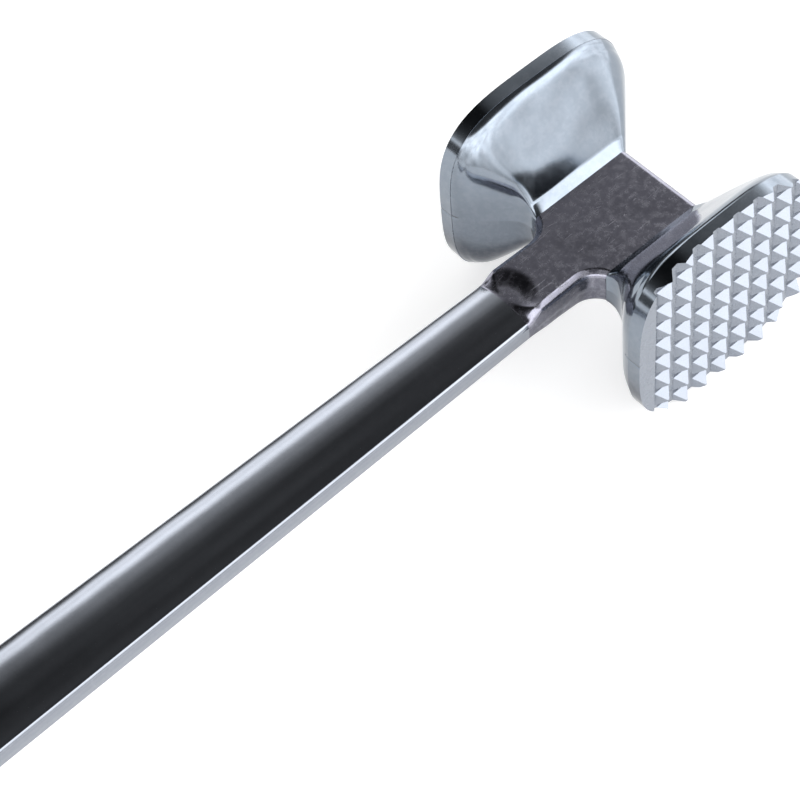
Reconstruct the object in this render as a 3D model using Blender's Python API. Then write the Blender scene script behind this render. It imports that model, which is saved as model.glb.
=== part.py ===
"""A double-faced cast metal meat mallet, lying flat with its handle along -X.

Axes of the design: X runs from the handle to the head, Y from one striking face to
the other (the fine-toothed face looks along -Y) and Z is up. Sizes are in metres.
The design is drawn about the middle of the head, then an empty lifts it so that the
flats under both head rims stand on Z = 0 and the whole tool is centred on X = 0.
"""

import math

import bmesh
import bpy
from mathutils import Matrix, Vector

# Driving dimensions
TOTAL_LENGTH = 0.240
FIT_GAP = 0.0003

# Heads: a flared back that widens from the bridge and rounds into a straight rim
RIM_NEAR = -0.02675
RIM_FAR = 0.02595
RIM_HALF_HEIGHT = 0.0255
RIM_SQUARENESS = 3.38
RIM_FLAT_TRIM = 0.0001
RIM_ROUNDING = 0.0022
CASTING_FRONT = 0.0275
ROOT_START = 0.01115
ROOT_END = 0.01325
ROOT_SLOPE = math.tan(math.radians(40))
ROOT_SQUARENESS = 14.0
FLANK_SLOPE = 1.40
NEAR_FLANK_OFFSET = 0.00083
FLARE_RING_COUNT = 14
RING_POINTS = 72

# Striking faces: toothed plates over the whole rim, each with a boss let into the casting
BOSS_MARGIN = 0.0030
BOSS_BACK = 0.0265
FLANGE_BACK = 0.0278
BORDER_FRONT = 0.0311
TOOTH_TIP = 0.0323
TOOTH_FIELD_NEAR = -0.02175
FINE_PITCH = 0.006
FINE_COLUMNS = 8
FINE_ROWS = 9
FINE_HEIGHT = 0.0023
FINE_ROW_SHIFT = -0.0004
COARSE_PITCH = 0.0092
COARSE_COUNT = 5
COARSE_HEIGHT = 0.0030
COARSE_BORDER = 0.0022
TOOTH_SINK = 0.0005
TOOTH_BASE_SHARE = 0.80

# Bridge between the heads, and the neck that reaches back to the handle
BRIDGE_HALF_THICKNESS = 0.0052
BRIDGE_FAR_END = 0.0113
BRIDGE_HALF_SPAN = 0.01085
BRIDGE_EDGE = 0.0006
NECK_EDGE = 0.0020
NECK_HALF_WIDTH = 0.0077
ARCH_RADIUS = 0.0056
ARCH_START = -0.02205
ARCH_STEPS = 9
NECK_SHOULDER_START = -0.0325
NECK_END = -0.0370
SCOOP_CENTRE = -0.0375
SCOOP_RADIUS = 0.0090
SCOOP_DEPTH = 0.0010

# Handle: straight side walls under a domed top and bottom
HANDLE_WIDTH_RATE = 0.0161
HANDLE_NECK_HALF_WIDTH = 0.0079
SIDE_HALF_HEIGHT = 0.00215
CREST_AT_NECK = 0.0042
CREST_AT_END = 0.0050
HANDLE_RINGS = 8
END_RINGS = 9
END_SWEEP = math.radians(80)
HANGING_HOLE_RADIUS = 0.0042
HANGING_HOLE_INSET = 0.0110

# Hidden joinery
STUD_RADIUS = 0.0030
STUD_HALF_LENGTH = 0.0220
TANG_LENGTH = 0.0130
TANG_HALF_WIDTH = 0.0044
TANG_HALF_HEIGHT = 0.0026
PIN_RADIUS = 0.0020
PIN_X = -0.0310
PIN_TOP = 0.0036

SECTION_POINTS = 17
DOME = 2
FLAT = 16
NECK_FLAT = 8
ROUND_SEGMENTS = 48
SHARP_ANGLE = math.radians(30)


def clear_scene():
    for old in list(bpy.data.objects):
        bpy.data.objects.remove(old, do_unlink=True)


def metal(name, colour, roughness):
    material = bpy.data.materials.new(name)
    material.use_nodes = True
    shader = material.node_tree.nodes["Principled BSDF"]
    shader.inputs["Base Color"].default_value = (*colour, 1.0)
    shader.inputs["Roughness"].default_value = roughness
    shader.inputs["Metallic"].default_value = 1.0
    material.diffuse_color = (*colour, 1.0)
    return material


def add_object(name, mesh_builder, parent, material=None):
    """A named object from a bmesh, shaded smooth with its sharp edges kept."""
    bmesh.ops.recalc_face_normals(mesh_builder, faces=mesh_builder.faces)
    mesh = bpy.data.meshes.new(name)
    mesh_builder.to_mesh(mesh)
    mesh_builder.free()
    mesh.shade_smooth()
    mesh.set_sharp_from_angle(angle=SHARP_ANGLE)
    new = bpy.data.objects.new(name, mesh)
    bpy.context.scene.collection.objects.link(new)
    new.parent = parent
    if material:
        mesh.materials.append(material)
    return new


def loft(rings):
    """A closed solid through rings of equal length, capped at both ends."""
    solid = bmesh.new()
    loops = [[solid.verts.new(point) for point in ring] for ring in rings]
    for first, second in zip(loops, loops[1:]):
        for i, vert in enumerate(first):
            following = (i + 1) % len(first)
            solid.faces.new((vert, first[following], second[following], second[i]))
    solid.faces.new(list(reversed(loops[0])))
    solid.faces.new(loops[-1])
    return solid


def rod(radius, length, direction):
    """A cylinder centred on its origin, along 'X', 'Y' or 'Z'."""
    solid = bmesh.new()
    turn = {
        "X": Matrix.Rotation(math.pi / 2, 4, "Y"),
        "Y": Matrix.Rotation(math.pi / 2, 4, "X"),
        "Z": Matrix.Identity(4),
    }[direction]
    bmesh.ops.create_cone(
        solid,
        cap_ends=True,
        segments=ROUND_SEGMENTS,
        radius1=radius,
        radius2=radius,
        depth=length,
        matrix=turn,
    )
    return solid


def block(low, high):
    solid = bmesh.new()
    size = Vector(high) - Vector(low)
    centre = (Vector(high) + Vector(low)) / 2
    bmesh.ops.create_cube(solid, size=1.0, matrix=Matrix.Diagonal((*size, 1.0)))
    bmesh.ops.translate(solid, verts=solid.verts, vec=centre)
    return solid


def cut(target, cutter):
    """Subtract a hidden cutter from the target with a Boolean modifier."""
    cutter.hide_render = True
    cutter.display_type = "WIRE"
    modifier = target.modifiers.new("Cut " + cutter.name, "BOOLEAN")
    modifier.operation = "DIFFERENCE"
    modifier.object = cutter


def bevel(target, width):
    modifier = target.modifiers.new("Edge", "BEVEL")
    modifier.width = width
    modifier.segments = 2
    modifier.limit_method = "ANGLE"
    modifier.angle_limit = SHARP_ANGLE


def superellipse(near, far, half_height, squareness, y):
    """A ring in the XZ plane at y, from x = near to x = far."""
    centre = (near + far) / 2
    half_length = (far - near) / 2
    ring = []
    for step in range(RING_POINTS):
        angle = 2 * math.pi * (step + 0.5) / RING_POINTS
        reach_x = math.copysign(abs(math.cos(angle)) ** (2 / squareness), math.cos(angle))
        reach_z = math.copysign(abs(math.sin(angle)) ** (2 / squareness), math.sin(angle))
        ring.append([centre + half_length * reach_x, y, half_height * reach_z])
    return ring


def rim_ring(grow, y):
    """The face outline, with a real flat trimmed on its top and its bottom."""
    limit = RIM_HALF_HEIGHT + grow
    ring = superellipse(RIM_NEAR - grow, RIM_FAR + grow, limit + RIM_FLAT_TRIM, RIM_SQUARENESS, y)
    for point in ring:
        point[2] = max(-limit, min(limit, point[2]))
    return ring


def soft_lower(first, second):
    """The lower of two values, rounded over where they cross."""
    overlap = max(RIM_ROUNDING - abs(first - second), 0.0) / RIM_ROUNDING
    return min(first, second) - overlap * overlap * RIM_ROUNDING / 4


def arch_x(y):
    """Where the arch beside the neck lies at the distance y from the middle."""
    off_centre = NECK_HALF_WIDTH + ARCH_RADIUS - y
    return ARCH_START + math.sqrt(ARCH_RADIUS**2 - off_centre**2)


def flare_ring(y):
    """One section of the flared back of a head."""
    leaves_arch = NECK_HALF_WIDTH + ARCH_RADIUS * (1 + math.sin(math.pi / 4))
    if y < leaves_arch:
        near = arch_x(y)
    else:
        near = -soft_lower(-RIM_NEAR, y + NEAR_FLANK_OFFSET)
    far = soft_lower(RIM_FAR, BRIDGE_FAR_END + y - ROOT_START)
    root_height = BRIDGE_HALF_THICKNESS + ROOT_SLOPE * (ROOT_END - ROOT_START)
    if y < ROOT_END:
        half_height = root_height - ROOT_SLOPE * (ROOT_END - y)
    else:
        half_height = soft_lower(RIM_HALF_HEIGHT, root_height + FLANK_SLOPE * (y - ROOT_END))
    along = min(1.0, (y - ROOT_START) / (CASTING_FRONT - ROOT_START - RIM_ROUNDING))
    squareness = ROOT_SQUARENESS + (RIM_SQUARENESS - ROOT_SQUARENESS) * along**0.5
    return superellipse(near, far, half_height, squareness, y)


def mirrored(rings, side):
    return [[(x, side * y, z) for x, y, z in ring] for ring in rings]


def head(name, side, parent, material):
    """A head casting: flared back, the start of the rim, boss recess and stud bore."""
    rings = [flare_ring(ROOT_START)]
    for step in range(FLARE_RING_COUNT):
        rings.append(flare_ring(ROOT_END + (CASTING_FRONT - ROOT_END) * step / (FLARE_RING_COUNT - 1)))
    casting = add_object(name, loft(mirrored(rings, side)), parent, material)

    recess_rings = [
        rim_ring(FIT_GAP - BOSS_MARGIN, y) for y in (BOSS_BACK - FIT_GAP, CASTING_FRONT + 0.002)
    ]
    cut(casting, add_object(name + "_recess_cutter", loft(mirrored(recess_rings, side)), parent))

    bore_end = STUD_HALF_LENGTH + FIT_GAP
    bore_start = ROOT_START - 0.001
    bore = add_object(name + "_bore_cutter", rod(STUD_RADIUS + FIT_GAP, bore_end - bore_start, "Y"), parent)
    bore.location = (0.0, side * (bore_end + bore_start) / 2, 0.0)
    cut(casting, bore)
    return casting


def lines_of_field(start, pitch, count, low, high):
    """Grid lines across a toothed field, with a flat strip between neighbouring teeth."""
    strip = pitch * (1 - TOOTH_BASE_SHARE) / 2
    lines = [low]
    for i in range(count):
        for line in (start + pitch * i + strip, start + pitch * (i + 1) - strip):
            lines.append(line)
    lines.append(high)
    return lines


def tooth_block(pitch, columns, rows, height, row_shift):
    """A block toward +Y with pyramids on a sunk field, open at the top and the bottom."""
    solid = bmesh.new()
    valley = TOOTH_TIP - height
    margin = 0.004
    low = RIM_NEAR - margin
    high = RIM_FAR + margin
    limit = RIM_HALF_HEIGHT + margin
    field_bottom = -pitch * rows / 2 + row_shift

    across = lines_of_field(TOOTH_FIELD_NEAR, pitch, columns, TOOTH_FIELD_NEAR, high)
    upward = lines_of_field(field_bottom, pitch, rows, -limit, limit)
    grid = [[solid.verts.new((x, valley, z)) for z in upward] for x in across]
    for i in range(len(across) - 1):
        for j in range(len(upward) - 1):
            corners = [grid[i][j], grid[i + 1][j], grid[i + 1][j + 1], grid[i][j + 1]]
            if i % 2 and j % 2:
                middle = sum((corner.co for corner in corners), Vector()) / 4
                tip = solid.verts.new((middle.x, TOOTH_TIP, middle.z))
                for first, second in zip(corners, corners[1:] + corners[:1]):
                    solid.faces.new((first, second, tip))
            else:
                solid.faces.new(corners)

    outline = [grid[i][0] for i in range(len(across) - 1)]
    outline += [grid[-1][j] for j in range(len(upward) - 1)]
    outline += [grid[i][-1] for i in range(len(across) - 1, 0, -1)]
    outline += [grid[0][j] for j in range(len(upward) - 1, 0, -1)]
    back = [solid.verts.new((vert.co.x, BOSS_BACK - 0.002, vert.co.z)) for vert in outline]
    for i, vert in enumerate(outline):
        following = (i + 1) % len(outline)
        solid.faces.new((vert, outline[following], back[following], back[i]))
    solid.faces.new(back)
    border = ((low, BOSS_BACK - 0.002, -limit), (TOOTH_FIELD_NEAR + 0.0001, BORDER_FRONT, limit))
    return solid, border


def hidden_shape(name, solid, side, parent):
    for vert in solid.verts:
        vert.co.y *= side
    shape = add_object(name, solid, parent)
    shape.hide_render = True
    shape.display_type = "WIRE"
    return shape


def join(target, name, shape, operation):
    modifier = target.modifiers.new(name, "BOOLEAN")
    modifier.operation = operation
    modifier.object = shape


def plate_body(name, side, front, parent, material):
    """The face outline from its flange to the front, with the boss behind it."""
    rings = [rim_ring(-BOSS_MARGIN, y) for y in (BOSS_BACK, FLANGE_BACK)]
    rings += [rim_ring(0.0, y) for y in (FLANGE_BACK, front)]
    return add_object(name, loft(mirrored(rings, side)), parent, material)


def fine_tooth_plate(side, parent, material):
    """The fine face: its teeth run out through the outline at the top and the bottom."""
    name = "fine_tooth_plate"
    teeth_solid, (low, high) = tooth_block(FINE_PITCH, FINE_COLUMNS, FINE_ROWS, FINE_HEIGHT, FINE_ROW_SHIFT)
    teeth = hidden_shape(name + "_teeth_shape", teeth_solid, side, parent)
    border = hidden_shape(name + "_border_shape", block(low, high), side, parent)
    join(teeth, "Border", border, "UNION")
    plate = plate_body(name, side, TOOTH_TIP + 0.001, parent, material)
    join(plate, "Teeth", teeth, "INTERSECT")
    return plate


def inside_outline(x, z, grow):
    across = (x - (RIM_NEAR + RIM_FAR) / 2) / ((RIM_FAR - RIM_NEAR) / 2 + grow)
    upward = z / (RIM_HALF_HEIGHT + grow)
    return abs(across) ** RIM_SQUARENESS + abs(upward) ** RIM_SQUARENESS < 1


def coarse_teeth():
    """Separate pyramids for every cell of the coarse grid that lies inside the border."""
    solid = bmesh.new()
    middle_x = (RIM_NEAR + RIM_FAR) / 2
    half = COARSE_PITCH * TOOTH_BASE_SHARE / 2
    base = TOOTH_TIP - COARSE_HEIGHT - TOOTH_SINK
    spread = half * (COARSE_HEIGHT + TOOTH_SINK) / COARSE_HEIGHT
    for i in range(COARSE_COUNT):
        for j in range(COARSE_COUNT):
            x = middle_x + COARSE_PITCH * (i - (COARSE_COUNT - 1) / 2)
            z = COARSE_PITCH * (j - (COARSE_COUNT - 1) / 2)
            turns = ((-1, -1), (1, -1), (1, 1), (-1, 1))
            if not all(inside_outline(x + a * half, z + b * half, -COARSE_BORDER) for a, b in turns):
                continue
            corners = [solid.verts.new((x + a * spread, base, z + b * spread)) for a, b in turns]
            tip = solid.verts.new((x, TOOTH_TIP, z))
            solid.faces.new(corners)
            for first, second in zip(corners, corners[1:] + corners[:1]):
                solid.faces.new((first, second, tip))
    return solid


def coarse_tooth_plate(side, parent, material):
    """The coarse face: pyramids standing in a pocket with a border all around."""
    name = "coarse_tooth_plate"
    plate = plate_body(name, side, BORDER_FRONT, parent, material)
    pocket = [rim_ring(-COARSE_BORDER, y) for y in (TOOTH_TIP - COARSE_HEIGHT, BORDER_FRONT + 0.001)]
    cut(plate, add_object(name + "_pocket_cutter", loft(mirrored(pocket, side)), parent))
    join(plate, "Teeth", hidden_shape(name + "_teeth_shape", coarse_teeth(), side, parent), "UNION")
    return plate


def bar_section(x, half_width, shoulder, crest, flatness):
    """A ring in the YZ plane: straight sides up to the shoulder, then a domed top.

    The flatness runs from DOME for a round top to FLAT for a level top with
    rounded edges. The bottom mirrors the top.
    """
    top = []
    for step in range(SECTION_POINTS):
        # Points crowd toward the edges, where a flat top turns down.
        reach = math.sin(math.pi * (step / (SECTION_POINTS - 1) - 0.5))
        rise = (crest - shoulder) * (1 - abs(reach) ** flatness)
        top.append((x, half_width * reach, shoulder + rise))
    bottom = [(x, y, -z) for x, y, z in reversed(top)]
    return top + bottom


def bridge_half_width(x):
    if x <= ARCH_START:
        share = (ARCH_START - x) / (ARCH_START - NECK_END)
        return NECK_HALF_WIDTH + (HANDLE_NECK_HALF_WIDTH - NECK_HALF_WIDTH) * share
    return NECK_HALF_WIDTH + ARCH_RADIUS - math.sqrt(ARCH_RADIUS**2 - (x - ARCH_START) ** 2)


def head_bridge(parent, material):
    """The flat bridge between the heads and the neck that takes the handle.

    A shallow ball-shaped scoop lets the flat down to the crest of the handle.
    """
    stations = [NECK_END + FIT_GAP / 2, NECK_END + 0.0015, NECK_END + 0.003, NECK_SHOULDER_START, ARCH_START]
    arch_end = math.asin((arch_x(BRIDGE_HALF_SPAN) - ARCH_START) / ARCH_RADIUS)
    for step in range(1, ARCH_STEPS + 1):
        stations.append(ARCH_START + ARCH_RADIUS * math.sin(arch_end * step / ARCH_STEPS))
    rings = []
    for x in stations:
        blend = min(1.0, max(0.0, (x - NECK_END) / (NECK_SHOULDER_START - NECK_END)))
        spread = max(0.0, bridge_half_width(x) - NECK_HALF_WIDTH) / (BRIDGE_HALF_SPAN - NECK_HALF_WIDTH)
        edge = NECK_EDGE + (BRIDGE_EDGE - NECK_EDGE) * (spread if x > ARCH_START else 0.0)
        flat = NECK_FLAT + (FLAT - NECK_FLAT) * (spread if x > ARCH_START else 0.0)
        shoulder = SIDE_HALF_HEIGHT + (BRIDGE_HALF_THICKNESS - edge - SIDE_HALF_HEIGHT) * blend
        crest = CREST_AT_NECK + (BRIDGE_HALF_THICKNESS - CREST_AT_NECK) * blend
        flatness = DOME * (flat / DOME) ** blend
        rings.append(bar_section(x, bridge_half_width(x), shoulder, crest, flatness))
    far_shoulder = BRIDGE_HALF_THICKNESS - BRIDGE_EDGE
    rings.append(
        bar_section(BRIDGE_FAR_END, BRIDGE_HALF_SPAN, far_shoulder, BRIDGE_HALF_THICKNESS, FLAT)
    )
    bridge = add_object("head_bridge", loft(rings), parent, material)

    scoop = bmesh.new()
    ball_radius = (SCOOP_RADIUS**2 + SCOOP_DEPTH**2) / (2 * SCOOP_DEPTH)
    bmesh.ops.create_uvsphere(scoop, u_segments=96, v_segments=64, radius=ball_radius)
    scoop_cutter = add_object("scoop_cutter", scoop, parent)
    scoop_cutter.location = (SCOOP_CENTRE, 0.0, BRIDGE_HALF_THICKNESS - SCOOP_DEPTH + ball_radius)
    cut(bridge, scoop_cutter)

    bore = rod(STUD_RADIUS + FIT_GAP, 2 * BRIDGE_HALF_SPAN + 0.002, "Y")
    cut(bridge, add_object("bridge_bore_cutter", bore, parent))

    socket = block(
        (NECK_END - 0.001, -TANG_HALF_WIDTH - FIT_GAP, -TANG_HALF_HEIGHT - FIT_GAP),
        (NECK_END + TANG_LENGTH + FIT_GAP, TANG_HALF_WIDTH + FIT_GAP, TANG_HALF_HEIGHT + FIT_GAP),
    )
    cut(bridge, add_object("socket_cutter", socket, parent))

    pin_hole_bottom = -BRIDGE_HALF_THICKNESS - 0.001
    pin_hole_top = PIN_TOP + FIT_GAP
    pin_hole = rod(PIN_RADIUS + FIT_GAP, pin_hole_top - pin_hole_bottom, "Z")
    pin_cutter = add_object("bridge_pin_cutter", pin_hole, parent)
    pin_cutter.location = (PIN_X, 0.0, (pin_hole_top + pin_hole_bottom) / 2)
    cut(bridge, pin_cutter)
    return bridge


def handle_half_width(x):
    return HANDLE_NECK_HALF_WIDTH + HANDLE_WIDTH_RATE * (NECK_END - x)


def handle(parent, material):
    """The tapered handle with its rounded hanging end and the tang at its neck."""
    start = NECK_END - FIT_GAP / 2
    tip = RIM_FAR - TOTAL_LENGTH
    end_radius = handle_half_width(tip)
    end_reach = end_radius / math.sin(END_SWEEP)
    round_start = tip + end_radius

    rings = []
    for step in range(HANDLE_RINGS):
        share = step / (HANDLE_RINGS - 1)
        x = start + (round_start - start) * share
        crest = CREST_AT_NECK + (CREST_AT_END - CREST_AT_NECK) * share
        rings.append(bar_section(x, handle_half_width(x), SIDE_HALF_HEIGHT, crest, DOME))
    widest = handle_half_width(round_start)
    for step in range(1, END_RINGS + 1):
        angle = END_SWEEP * step / END_RINGS
        x = round_start - end_reach * math.sin(angle)
        swell = math.cos(angle) ** 0.5
        crest = SIDE_HALF_HEIGHT + (CREST_AT_END - SIDE_HALF_HEIGHT) * swell
        rings.append(bar_section(x, widest * math.cos(angle), SIDE_HALF_HEIGHT, crest, DOME))
    bar = add_object("handle", loft(rings), parent, material)

    tang = add_object(
        "tang_shape",
        block(
            (start - 0.004, -TANG_HALF_WIDTH, -TANG_HALF_HEIGHT),
            (NECK_END + TANG_LENGTH, TANG_HALF_WIDTH, TANG_HALF_HEIGHT),
        ),
        parent,
    )
    tang.hide_render = True
    tang.display_type = "WIRE"
    join = bar.modifiers.new("Tang", "BOOLEAN")
    join.operation = "UNION"
    join.object = tang

    pin_hole = add_object("tang_pin_cutter", rod(PIN_RADIUS + FIT_GAP, 4 * TANG_HALF_HEIGHT, "Z"), parent)
    pin_hole.location = (PIN_X, 0.0, 0.0)
    cut(bar, pin_hole)

    hole = add_object("hanging_hole_cutter", rod(HANGING_HOLE_RADIUS, 4 * CREST_AT_END, "Z"), parent)
    hole.location = (tip + HANGING_HOLE_INSET, 0.0, 0.0)
    cut(bar, hole)
    return bar


def tie_stud(parent, material):
    """The stud through the bridge that draws both heads together."""
    stud = add_object("tie_stud", rod(STUD_RADIUS, 2 * STUD_HALF_LENGTH, "Y"), parent, material)
    bevel(stud, 0.0004)
    return stud


def neck_pin(parent, material):
    """The pin driven up through the neck and the tang from the underside."""
    bottom = -BRIDGE_HALF_THICKNESS
    pin = add_object("neck_pin", rod(PIN_RADIUS, PIN_TOP - bottom, "Z"), parent, material)
    pin.location = (PIN_X, 0.0, (PIN_TOP + bottom) / 2)
    bevel(pin, 0.0003)
    return pin


def build():
    clear_scene()
    base = bpy.data.objects.new("mallet_base", None)
    bpy.context.scene.collection.objects.link(base)
    base.location = (TOTAL_LENGTH / 2 - RIM_FAR, 0.0, RIM_HALF_HEIGHT)

    head_bridge(base, metal("bridge_polished", (0.52, 0.53, 0.56), 0.16))
    tie_stud(base, metal("stud_steel", (0.45, 0.45, 0.47), 0.35))
    head("fine_head", -1, base, metal("fine_head_polished", (0.66, 0.68, 0.72), 0.12))
    head("coarse_head", 1, base, metal("coarse_head_polished", (0.66, 0.68, 0.72), 0.12))
    fine_tooth_plate(-1, base, metal("fine_teeth_bright", (0.80, 0.81, 0.84), 0.25))
    coarse_tooth_plate(1, base, metal("coarse_teeth_bright", (0.80, 0.81, 0.84), 0.25))
    handle(base, metal("handle_polished", (0.62, 0.63, 0.67), 0.14))
    neck_pin(base, metal("pin_steel", (0.45, 0.45, 0.47), 0.30))


build()
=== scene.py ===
"""A double-faced, polished metal meat mallet on a pale floor.

Axes: X runs from the handle to the head, Y from the fine-toothed face (-Y) to the
coarse one and Z is up. Sizes are in metres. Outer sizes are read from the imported
frame; the shapes in between are worked out from them and from the values below.
"""

import math

import bmesh
import bpy
from mathutils import Matrix, Vector


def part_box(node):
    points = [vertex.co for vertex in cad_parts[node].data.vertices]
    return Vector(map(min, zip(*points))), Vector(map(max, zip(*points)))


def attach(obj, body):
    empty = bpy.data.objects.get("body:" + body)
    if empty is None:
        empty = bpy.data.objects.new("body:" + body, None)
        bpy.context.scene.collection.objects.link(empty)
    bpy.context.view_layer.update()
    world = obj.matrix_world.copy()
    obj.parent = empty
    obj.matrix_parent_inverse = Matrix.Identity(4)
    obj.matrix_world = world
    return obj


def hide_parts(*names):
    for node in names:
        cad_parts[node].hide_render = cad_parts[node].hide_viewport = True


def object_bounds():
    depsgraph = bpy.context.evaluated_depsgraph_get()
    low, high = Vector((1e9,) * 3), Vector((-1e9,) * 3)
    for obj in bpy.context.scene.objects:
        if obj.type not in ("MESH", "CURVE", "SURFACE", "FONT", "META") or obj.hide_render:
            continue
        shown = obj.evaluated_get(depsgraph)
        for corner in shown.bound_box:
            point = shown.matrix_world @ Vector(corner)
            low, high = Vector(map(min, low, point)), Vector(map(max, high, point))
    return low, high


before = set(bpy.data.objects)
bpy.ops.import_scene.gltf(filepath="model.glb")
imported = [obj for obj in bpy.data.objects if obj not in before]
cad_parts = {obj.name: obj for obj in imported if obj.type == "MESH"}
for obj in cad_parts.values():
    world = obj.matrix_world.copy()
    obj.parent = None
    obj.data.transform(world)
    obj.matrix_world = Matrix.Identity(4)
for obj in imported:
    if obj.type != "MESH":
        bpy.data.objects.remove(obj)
cad_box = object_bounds()

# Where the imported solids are
BRIDGE_LOW, BRIDGE_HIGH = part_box("head_bridge")
HANDLE_LOW, HANDLE_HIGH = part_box("handle")
PLATE_LOW, PLATE_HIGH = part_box("coarse_tooth_plate")
STUD_LOW, STUD_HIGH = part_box("tie_stud")
PIN_LOW, PIN_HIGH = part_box("neck_pin")
HEAD_MIDDLE = (STUD_LOW + STUD_HIGH) / 2

# Sizes from here on are measured from the middle of the tie stud, HEAD_MIDDLE.

# Rims, with the groove at mid-height where the die halves met
RIM_NEAR = PLATE_LOW.x - HEAD_MIDDLE.x
RIM_FAR = PLATE_HIGH.x - HEAD_MIDDLE.x
RIM_HALF_HEIGHT = (PLATE_HIGH.z - PLATE_LOW.z) / 2
RIM_SQUARENESS = 3.38
RIM_ROUNDING = 0.0030
TOP_ROUNDING = 0.0024
RIM_SEAM = 0.02765
PARTING_DEPTH = 0.00012
PARTING_HALF_HEIGHT = 0.0002
PARTING_START = 0.0262

# Bridge, and the flares that widen from it to the rims
BRIDGE_TOP = (BRIDGE_HIGH.z - BRIDGE_LOW.z) / 2
BRIDGE_FAR = BRIDGE_HIGH.x - HEAD_MIDDLE.x
BRIDGE_FAR_EDGE = 0.0018
HEAD_SEAM = 0.0110
SEAM_GAP = 0.000003
ROOT_END = 0.01325
ROOT_SLOPE = math.tan(math.radians(40))
ROOT_SQUARENESS = 14.0
FLANK_SLOPE = 1.38
NEAR_FLANK_OFFSET = 0.00083
FAR_FLANK_OFFSET = 0.00038
SQUARENESS_END = RIM_SEAM - 0.0020
DIE_DRAFT = 0.045
DRAFT_FADE = 0.5

# Neck: arches into the heads, a chamfer along its top and a scoop by the handle
NECK_END = BRIDGE_LOW.x - HEAD_MIDDLE.x
NECK_HALF_WIDTH = 0.0077
NECK_FILLET = 0.0021
CHAMFER_WIDTH = 0.0010
CHAMFER_SLOPE = math.radians(37)
CHAMFER_ROUND = 0.0011
ARCH_RADIUS = 0.0056
ARCH_START = -0.02205
DOME_FADE = 0.0012
DOME_FADE_AT_EDGE = 0.0045
UNDER_FILLET = 0.0036
UNDER_FADE = 0.0070
SCOOP_X = -0.0373
SCOOP_RADIUS = 0.0088
SCOOP_FLOOR_RADIUS = 0.0040
SHOULDER_LENGTH = 0.003

# Handle, with the hanging hole near its tip
HANDLE_SEAM = NECK_END - SEAM_GAP
HANDLE_TIP = HANDLE_LOW.x - HEAD_MIDDLE.x
HANDLE_END_HALF_WIDTH = HANDLE_HIGH.y
HANDLE_NECK_HALF_WIDTH = 0.0079
HANDLE_FILLET = 0.0015
SIDE_HALF_HEIGHT = 0.0024
CREST_AT_NECK = 0.0042
CREST_AT_END = (HANDLE_HIGH.z - HANDLE_LOW.z) / 2
HANGING_HOLE_RADIUS = 0.0042
HANGING_HOLE_INSET = 0.0110
HOLE_FLARE = 0.0008
HOLE_INSET = 0.0001
LID_MARGIN = 0.0002
END_SWEEP = math.radians(84)
END_FILLET_SHARE = 0.45

# Striking faces, each with a boss let into its casting
BOSS_BACK = PLATE_LOW.y
BOSS_MARGIN = 0.0030
RECESS_GAP = 0.00008
BORDER_FRONT = 0.0311
TOOTH_TIP = PLATE_HIGH.y
TOOTH_FIELD_NEAR = -0.02175
TOOTH_BASE_SHARE = 0.74
TOOTH_BLUNTNESS = 0.09
TOOTH_EDGE = 0.00018
BORDER_LEAN = 0.0002
BLOCK_MARGIN = 0.004
FACE_START = RIM_SEAM + 0.001
CREASE_ANGLE = math.radians(25)
WALL_TILT = 0.2

# Teeth of the two faces
FINE_PITCH = 0.0060
FINE_COLUMNS = 8
FINE_ROWS = 9
FINE_HEIGHT = 0.0023
FINE_ROW_SHIFT = -0.0004
COARSE_PITCH = 0.0092
COARSE_COUNT = 5
COARSE_HEIGHT = 0.0030
COARSE_BORDER = 0.0022
TOOTH_SINK = 0.0005

# Hidden joinery
TANG_LENGTH = 0.0130
TANG_HALF_WIDTH = 0.0044
TANG_HALF_HEIGHT = 0.0026
TANG_OVERLAP = 0.004
FIT_GAP = 0.0003
CUT_MARGIN = 0.001

# How finely the curves are divided
QUADRANT_STEPS = 44
QUADRANT_SAMPLES = 600
PARTING_SHARE = 0.008
ROOT_RINGS = 8
FLARE_RINGS = 48
SECTION_STEPS = 96
WALL_STEPS = 4
NECK_RINGS = 90
ARCH_RINGS = 24
SHOULDER_RINGS = 16
DECK_RINGS = 12
FAR_EDGE_RINGS = 10
HANDLE_RINGS = 60
HANDLE_END_RINGS = 36
HOLE_FLARE_STEPS = 8
BORE_SEGMENTS = 48
HOLE_SEGMENTS = 64
SHARP_ANGLE = math.radians(28)
NORMAL_WEIGHT = 80
WELD_DISTANCE = 1e-7


# ---------------------------------------------------------------- mesh building


def to_world(point):
    """Moves a point from the middle of the tie stud to its place in the frame."""
    return HEAD_MIDDLE + Vector(point)


def object_from(name, builder, material):
    """Turns a bmesh into an object in the scene and frees the bmesh."""
    bmesh.ops.remove_doubles(builder, verts=builder.verts, dist=WELD_DISTANCE)
    bmesh.ops.recalc_face_normals(builder, faces=builder.faces)
    mesh = bpy.data.meshes.new(name)
    builder.to_mesh(mesh)
    builder.free()
    piece = bpy.data.objects.new(name, mesh)
    bpy.context.scene.collection.objects.link(piece)
    if material:
        mesh.materials.append(material)
    return piece


def loft(rings):
    """A closed solid through rings of equal length, capped flat at both ends."""
    builder = bmesh.new()
    loops = [[builder.verts.new(to_world(point)) for point in ring] for ring in rings]
    for first, second in zip(loops, loops[1:]):
        for i, vert in enumerate(first):
            following = (i + 1) % len(first)
            builder.faces.new((vert, first[following], second[following], second[i]))
    builder.faces.new(list(reversed(loops[0])))
    builder.faces.new(loops[-1])
    return builder


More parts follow.
